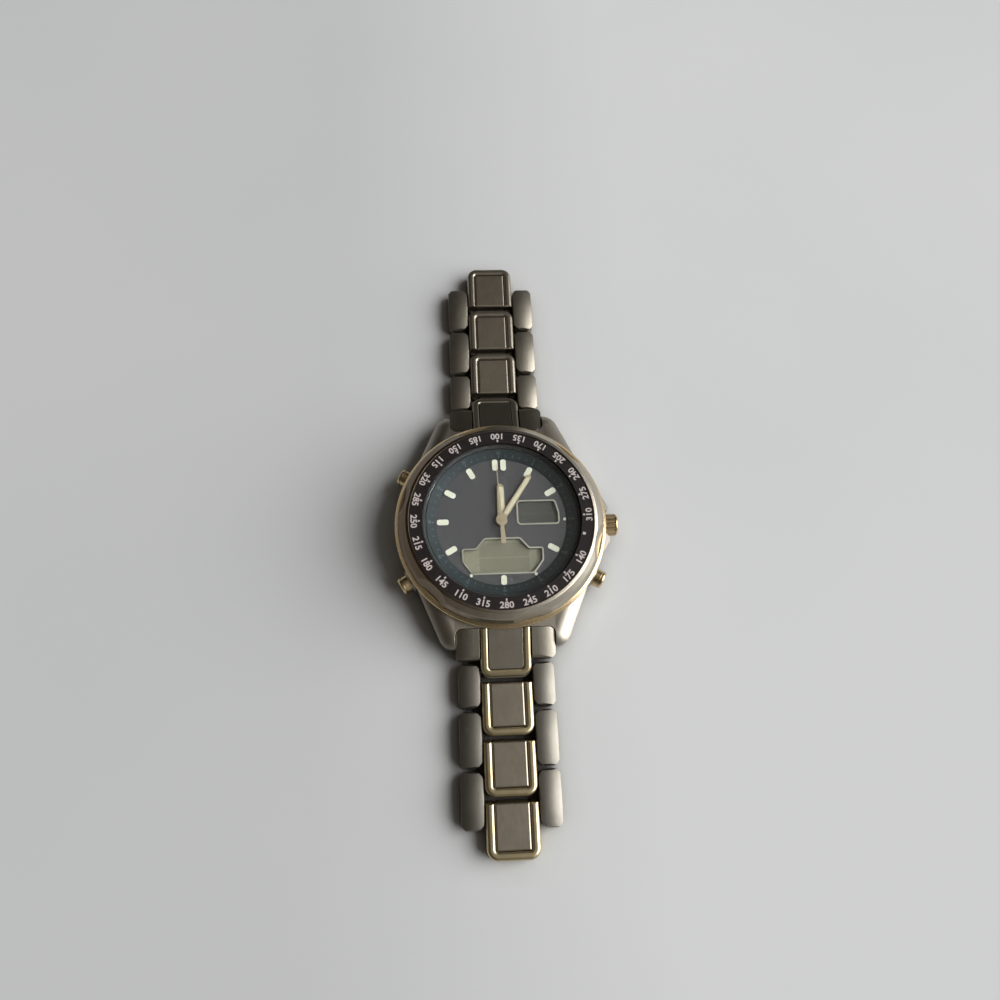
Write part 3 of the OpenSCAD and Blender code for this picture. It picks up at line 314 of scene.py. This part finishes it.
# painted shade: a greyer, darker copy of the rims' gold for the upper half, which shows dimmer
# reflection
rim_gold_shaded = metal("rim_gold_painted_shade", (0.385, 0.35, 0.29), (0.29, 0.255, 0.205), 0.30,
               streak=0.35, soften=0.08, patch=0.4, depth=0.2)
steel = metal("pin_steel", (0.50, 0.49, 0.46), (0.38, 0.37, 0.34), 0.30, "X", soften=0.03)
brass = metal("plate_brass", (0.66, 0.58, 0.34), (0.52, 0.44, 0.25), 0.32, "X",
              streak=0.8, soften=0.05)
copper = metal("coil_copper", (0.70, 0.36, 0.20), (0.50, 0.25, 0.13), 0.35, "X",
               streak=1.0, soften=0.05)
ring_black = paint("ring_black", (0.008, 0.006, 0.006), (0.018, 0.013, 0.013), 0.34, 2200.0,
                   depth=0.1)
white_print = paint("white_print", (0.56, 0.50, 0.49), (0.42, 0.37, 0.36), 0.5, 4000.0)
dial_paint = paint("dial_paint", (0.053, 0.053, 0.057), (0.067, 0.063, 0.061), 0.42, 2600.0,
                   depth=0.03, metallic=0.25)
flange_paint = paint("flange_paint", (0.0055, 0.011, 0.012), (0.009, 0.016, 0.0175), 0.62, 1800.0,
                     depth=0.03, gloss=0.25)
track_print = paint("track_print", (0.075, 0.105, 0.11), (0.05, 0.075, 0.08), 0.5, 4000.0)
lume = paint("lume", (0.60, 0.60, 0.47), (0.50, 0.50, 0.38), 0.6, 3500.0, depth=0.1)
hand_lume = paint("hand_lume", (0.46, 0.42, 0.285), (0.38, 0.34, 0.22), 0.6, 3500.0, depth=0.1)
rubber = paint("gasket_rubber", (0.012, 0.012, 0.012), (0.02, 0.02, 0.02), 0.7, 2500.0)
holder = paint("holder_plastic", (0.55, 0.56, 0.54), (0.48, 0.49, 0.47), 0.5)
board = paint("circuit_board", (0.02, 0.12, 0.06), (0.03, 0.18, 0.09), 0.35, 900.0)
glass = crystal_glass("crystal_glass")
lcd_upper = lcd("lcd_upper", (0.066, 0.067, 0.057),
                [((3.5, -0.3), (9.8, 1.35)), ((3.5, 1.55), (9.8, 3.3))])
lcd_lower = lcd("lcd_lower", (0.178, 0.172, 0.122),
                [((-4.35, -9.5), (4.9, -7.0)), ((-4.35, -6.8), (4.9, -4.1))])

LOOKS = {}
for look, names in (
        (case_metal, "case_middle"),
        (satin_round, "case_back"),
        (hood_metal, "bezel_hood"),
        (ring_black, "bezel_printed_ring"),
        (gold, "bezel_base_ring crown pusher_4 pusher_8 pusher_10"),
        (gold_hand, "hour_hand minute_hand second_hand"),
        (frame_metal, "window_frames"),
        (dial_paint, "dial"),
        (flange_paint, "flange_ring"),
        (lume, "hour_markers"),
        (lcd_upper, "upper_lcd"),
        (lcd_lower, "lower_lcd"),
        (glass, "crystal"),
        (rubber, "case_back_gasket crystal_gasket"),
        (steel, "battery crown_tube pusher_tubes spring_bars stem setting_lever"),
        (brass, "main_plate battery_strap"),
        (holder, "movement_holder"),
        (board, "circuit_board"),
        (copper, "step_motors"),
        (satin_end_shaded, "upper_end_link"),
        (rim_gold_shaded, "upper_end_rim"),
        (satin, "lower_end_link"),
        (gold_rim, "lower_end_rim")):
    for name in names.split():
        LOOKS[name] = look
# painted shade: the upper rims and the outer links get darker copies of their materials, the lower
# outer links the darkest
for half, rim, outer in (("upper", rim_gold_shaded, satin_outer_shaded), ("lower", gold_rim, satin_outer_low_shaded)):
    for i in (1, 2, 3):
        LOOKS[f"{half}_centre_link_{i}"] = satin_core
        LOOKS[f"{half}_link_rim_{i}"] = rim
        LOOKS[f"{half}_outer_links_{i}"] = outer
        LOOKS[f"{half}_link_pins_{i}"] = steel
for name, obj in NODES.items():
    for slot in obj.material_slots:
        slot.material = LOOKS[name]


# ---- pieces. All their numbers are in millimetres and degrees ----

MERGE = 0.0005          # points nearer to each other than this are one
PRINT_SINK = 0.002      # depth of the print's underside below the surface that carries it
PRINT_HEIGHT = 0.012    # thickness of the numbers, and height of the ticks over the surface
TEXT_HALF = 0.1         # half the thickness that Blender gives a text before it is scaled


def top_of(node):
    return max(v.co.z for v in NODES[node].data.vertices) / MM


def mesh_piece(name, solids, look, body, smooth=False):
    mesh = bpy.data.meshes.new(name)
    mesh.from_pydata([Vector(v) * MM for v in solids.verts], [], solids.faces)
    shape = bmesh.new()
    shape.from_mesh(mesh)
    bmesh.ops.remove_doubles(shape, verts=shape.verts, dist=MERGE * MM)
    bmesh.ops.recalc_face_normals(shape, faces=shape.faces)
    shape.to_mesh(mesh)
    shape.free()
    mesh.validate()
    mesh.materials.append(look)
    if smooth:
        mesh.shade_smooth()
    obj = bpy.data.objects.new(name, mesh)
    bpy.context.scene.collection.objects.link(obj)
    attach(obj, body)


class Solids:
    """Collects closed solids that become one mesh."""

    def __init__(self):
        self.verts = []
        self.faces = []

    def prism(self, low, high):
        """low and high are rings of as many points; the sides and both ends are closed."""
        n = len(low)
        at = len(self.verts)
        self.verts += list(low) + list(high)
        self.faces += [[at + k, at + (k + 1) % n, at + n + (k + 1) % n, at + n + k]
                       for k in range(n)]
        self.faces.append([at + k for k in reversed(range(n))])
        self.faces.append([at + n + k for k in range(n)])

    def pad(self, outline, z0, z1, edge):
        """Closed pad whose upper edge is rounded off. outline(inset) gives its (x, y) points."""
        rings = [(0.0, z0), (0.0, z1 - edge)]
        rings += [(edge * (1 - math.cos(a)), z1 - edge + edge * math.sin(a))
                  for a in (math.pi / 6, math.pi / 3, math.pi / 2)]
        at = len(self.verts)
        n = len(outline(0.0))
        for inset, z in rings:
            self.verts += [(x, y, z) for x, y in outline(inset)]
        for k in range(len(rings) - 1):
            for j in range(n):
                a = at + k * n + j
                b = at + k * n + (j + 1) % n
                self.faces.append([a, b, b + n, a + n])
        self.faces.append([at + j for j in reversed(range(n))])
        self.faces.append([at + (len(rings) - 1) * n + j for j in range(n)])


def text_mesh(text, size, bold):
    """A number as a closed mesh, size high and centred on the origin."""
    curve = bpy.data.curves.new("number", "FONT")
    curve.body = text
    curve.size = 1.0
    curve.align_x = "CENTER"
    curve.extrude = TEXT_HALF
    curve.offset = bold
    curve.resolution_u = 3
    obj = bpy.data.objects.new("number", curve)
    bpy.context.scene.collection.objects.link(obj)
    mesh = bpy.data.meshes.new_from_object(obj)
    bpy.data.objects.remove(obj)
    bpy.data.curves.remove(curve)
    ys = [v.co.y for v in mesh.vertices]
    scale = size / (max(ys) - min(ys))
    middle = (max(ys) + min(ys)) / 2
    verts = [(v.co.x * scale, (v.co.y - middle) * scale,
              (v.co.z + TEXT_HALF) / (2 * TEXT_HALF) * PRINT_HEIGHT) for v in mesh.vertices]
    faces = [list(p.vertices) for p in mesh.polygons]
    bpy.data.meshes.remove(mesh)
    return verts, faces


def on_ring(x, y, lift, angle, radius, surface, inward):
    """A point of flat print wrapped round the Z axis.

    angle is clockwise from 12 o'clock, and surface(r) the height of what carries the print. The
    print's top points to the middle if inward, else away from it.
    """
    r = radius - y if inward else radius + y
    turn = math.radians(angle) + (-x if inward else x) / radius
    z = surface(r) + lift
    return (r * math.sin(turn), r * math.cos(turn), z)


def add_print(solids, text, size, angle, radius, surface, inward=True, widen=1.0, bold=0.0):
    verts, faces = text_mesh(text, size, bold)
    at = len(solids.verts)
    solids.verts += [on_ring(x * widen, y, z - PRINT_SINK, angle, radius, surface, inward)
                     for x, y, z in verts]
    solids.faces += [[at + k for k in face] for face in faces]


def add_tick(solids, angle, r0, r1, w0, w1, surface):
    """A tick from radius r0 to r1, w0 wide at the one and w1 at the other."""
    low, high = [], []
    for ring, lift in ((low, -PRINT_SINK), (high, PRINT_HEIGHT)):
        for x, r in ((-w0 / 2, r0), (w0 / 2, r0), (w1 / 2, r1), (-w1 / 2, r1)):
            a = math.radians(angle) + x / r
            ring.append((r * math.sin(a), r * math.cos(a), surface(r) + lift))
    solids.prism(low, high)


# numbers and pips on the printed ring of the bezel
RING_TOP = top_of("bezel_printed_ring")
RING_STEP = 15
RING_TURN = 0.7         # how far the ring is turned anticlockwise in the photograph
RING_BLANK = 7          # the place that has a wide pip instead of a number
RING_NUMBER = {"widen": 1.05, "bold": 0.022}
RING_NUMBER_HIGH, RING_NUMBER_R = 1.22, 16.25
RING_PIP = (15.1, 15.5, 0.24, 0.36)
RING_WIDE_PIP = (15.2, 15.75, 0.5, 0.5)
RING_WIDE_SHIFT = 1.5


def ring_top(r):
    return RING_TOP


def ring_text(k):
    """Plain numbers from 100 to 339, in steps of 35."""
    return str(100 + (k * 35) % 240)


ring_print = Solids()
for k in range(24):
    angle = RING_STEP * k - RING_TURN
    if k == RING_BLANK:
        add_tick(ring_print, angle - RING_WIDE_SHIFT, *RING_WIDE_PIP, ring_top)
    else:
        add_print(ring_print, ring_text(k), RING_NUMBER_HIGH, angle, RING_NUMBER_R, ring_top,
                  **RING_NUMBER)
        add_tick(ring_print, angle, *RING_PIP, ring_top)
mesh_piece("bezel_numbers", ring_print, white_print, "bezel")

# minute track on the sloping flange ring
DIAL_TOP = top_of("dial")
FLANGE_IN, FLANGE_OUT = 12.25, 13.95
FLANGE_LOW, FLANGE_HIGH = DIAL_TOP + 0.12, DIAL_TOP + 1.0
MINUTE_STEP = 6
MINUTE_TICK = (12.75, 13.15, 0.08, 0.08)
FIVE_TICK = (12.6, 12.95, 0.16, 0.16)
FIVE_NUMBER_HIGH, FIVE_NUMBER_R = 0.5, 13.4


def flange(r):
    return FLANGE_LOW + (FLANGE_HIGH - FLANGE_LOW) * (r - FLANGE_IN) / (FLANGE_OUT - FLANGE_IN)


track = Solids()
for k in range(60):
    angle = MINUTE_STEP * k
    if k % 5:
        add_tick(track, angle, *MINUTE_TICK, flange)
    else:
        add_tick(track, angle, *FIVE_TICK, flange)
        add_print(track, str(k or 60), FIVE_NUMBER_HIGH, angle, FIVE_NUMBER_R, flange,
                  inward=90 < angle < 270)
mesh_piece("minute_track", track, track_print, "case")

# luminous filling in the recesses of the hour and minute hands
FILL_START = 0.95 + 0.37    # the radius of the hand's pipe and the metal round it
FILL_TIP = 0.62             # metal left at the tip
FILL_SIDE = 0.2             # and at each side
FILL_START_R, FILL_TIP_R = 0.18, 0.28
FILL_SINK, FILL_RISE = 0.054, 0.015
FILL_EDGE = 0.03
CORNER_STEPS = 4


def hand_fill(name, body, node, turn, length, width):
    """turn is the hand's angle clockwise from 12 o'clock; length and width are the hand's."""
    top = top_of(node)
    low = FILL_START
    high = length - FILL_TIP
    half = width / 2 - FILL_SIDE

    def outline(inset):
        points = []
        for cx, cy, r, a0 in ((half, low, FILL_START_R, -90), (half, high, FILL_TIP_R, 0),
                              (-half, high, FILL_TIP_R, 90), (-half, low, FILL_START_R, 180)):
            sx = cx - math.copysign(r, cx)
            sy = cy + (r if cy == low else -r)
            for step in range(CORNER_STEPS + 1):
                a = math.radians(a0 + 90 / CORNER_STEPS * step)
                points.append((sx + (r - inset) * math.cos(a), sy + (r - inset) * math.sin(a)))
        t = math.radians(turn)
        return [(x * math.cos(t) + y * math.sin(t), y * math.cos(t) - x * math.sin(t))
                for x, y in points]

    fill = Solids()
    fill.pad(outline, top - FILL_SINK, top + FILL_RISE, FILL_EDGE)
    mesh_piece(name, fill, hand_lume, body, smooth=True)


hand_fill("hour_hand_lume", "hour_hand_body", "hour_hand", turn=0.4, length=7.25, width=1.5)
hand_fill("minute_hand_lume", "minute_hand_body", "minute_hand", turn=33.5, length=10.6,
          width=1.15)

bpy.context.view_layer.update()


# ---- floor and light ----

FLOOR_HALF = 2          # metres
FLOOR_DROP = 0.00002    # metres below the lowest links
FLOOR_SHADE = (-0.035, 0.03)    # x in metres, over which the painted shade of the floor fades towards the right
CONTACT_REACH = 5 * MM


def floor():
    """Pale paper with painted light and shade: it is darker towards the left as the light falls
    off, and has a painted shadow where something stands close to it.
    """
    mesh = bpy.data.meshes.new("floor")
    corners = [(x * FLOOR_HALF, y * FLOOR_HALF, 0) for x, y in ((-1, -1), (1, -1), (1, 1), (-1, 1))]
    mesh.from_pydata(corners, [], [(0, 1, 2, 3)])
    mat, tree, shader = start("floor_paper")
    soft = noise(tree, place(tree), 9.0, 3.0)
    tone = mix(tree, ramp(tree, soft, (0.3, 0.0), (0.7, 1.0)), (0.595, 0.61, 0.62),
               (0.625, 0.64, 0.645))
    # painted falloff of light: the floor darkens towards the left
    painted_falloff = span(tree, axes(tree, place(tree))[0], *FLOOR_SHADE)
    tone = mix(tree, 1.0, tone, ramp(tree, painted_falloff, (0.0, 0.83), (1.0, 1.0)), "MULTIPLY")
    # painted shadow: the floor is darker where something stands close to it
    painted_contact_shadow = ramp(tree, open_air(tree, CONTACT_REACH), (0.12, (0.05, 0.038, 0.03)),
                   (0.5, (0.70, 0.68, 0.66)), (0.93, (1.0, 1.0, 1.0)))
    tone = mix(tree, 1.0, tone, painted_contact_shadow, "MULTIPLY")
    feed(tree, shader, {"Base Color": tone, "Roughness": 0.8, "Specular IOR Level": 0.2})
    mesh.materials.append(mat)
    obj = bpy.data.objects.new("floor", mesh)
    obj.location.z = -FLOOR_DROP
    bpy.context.scene.collection.objects.link(obj)


def window(painted_falloff, strength, spread, color):
    """Soft light from a wide window far off in the given direction, with the same level
    everywhere. spread is its width in degrees."""
    light = bpy.data.lights.new("window", "SUN")
    light.energy = strength
    light.angle = math.radians(spread)
    light.color = color
    obj = bpy.data.objects.new("window", light)
    obj.rotation_euler = (-Vector(painted_falloff)).to_track_quat("-Z", "Y").to_euler()
    bpy.context.scene.collection.objects.link(obj)


def world():
    """A room that is pale on the right, dark on the left and ahead, and grey at the horizon."""
    sky = bpy.data.worlds.new("room")
    bpy.context.scene.world = sky
    sky.use_nodes = True
    tree = sky.node_tree
    x, y, z = axes(tree, put(tree, "ShaderNodeTexCoord").outputs["Generated"])
    # stop 0 is the direction -X or -Y, 0.5 is straight across and 1 is +X or +Y
    from_left = ramp(tree, span(tree, x, -1.0, 1.0),
                     (0.0, (0.110, 0.078, 0.054)), (0.12, (0.052, 0.041, 0.031)),
                     (0.36, (0.055, 0.046, 0.036)), (0.49, (0.165, 0.147, 0.122)),
                     (0.56, (0.230, 0.212, 0.182)), (0.75, (0.33, 0.33, 0.32)),
                     (1.0, (0.45, 0.46, 0.47)))
    from_near = ramp(tree, span(tree, y, -1.0, 1.0), (0.0, 0.6), (0.25, 0.8), (0.45, 1.0),
                     (0.60, 0.97), (0.78, 0.74), (0.84, 0.06), (1.0, 0.06))
    tone = mix(tree, 1.0, from_left, from_near, "MULTIPLY")
    horizon = ramp(tree, z, (0.0, 0.85), (0.12, 0.75), (0.20, 0.6), (0.38, 0.0))
    tone = mix(tree, horizon, tone, (0.36, 0.36, 0.35))
    feed(tree, tree.nodes["Background"], {"Color": tone, "Strength": 1.0})


floor()
world()
window((0.84, -0.056, 0.545), strength=4.85, spread=60.0, color=(1.0, 0.995, 0.985))


# ---- camera, fitted to marked points of the photograph ----

CAMERA_RIGHT = (0.99806, -0.04273, 0.04530)
CAMERA_UP = (0.02639, 0.94916, 0.31369)
CAMERA_BACK = (-0.05640, -0.31189, 0.94844)
CAMERA_PLACE = (-8.367 * MM, -41.667 * MM, 147.908 * MM)

camera = bpy.data.objects.new("camera", bpy.data.cameras.new("camera"))
camera.data.lens = 27.978
camera.data.sensor_width = 36.0
camera.data.sensor_fit = "HORIZONTAL"
camera.data.clip_start = 0.005
camera.data.clip_end = 10.0
camera.matrix_world = Matrix((*zip(CAMERA_RIGHT, CAMERA_UP, CAMERA_BACK, CAMERA_PLACE),
                              (0, 0, 0, 1)))
bpy.context.scene.collection.objects.link(camera)
bpy.context.scene.camera = camera
bpy.context.scene.view_settings.view_transform = "Standard"
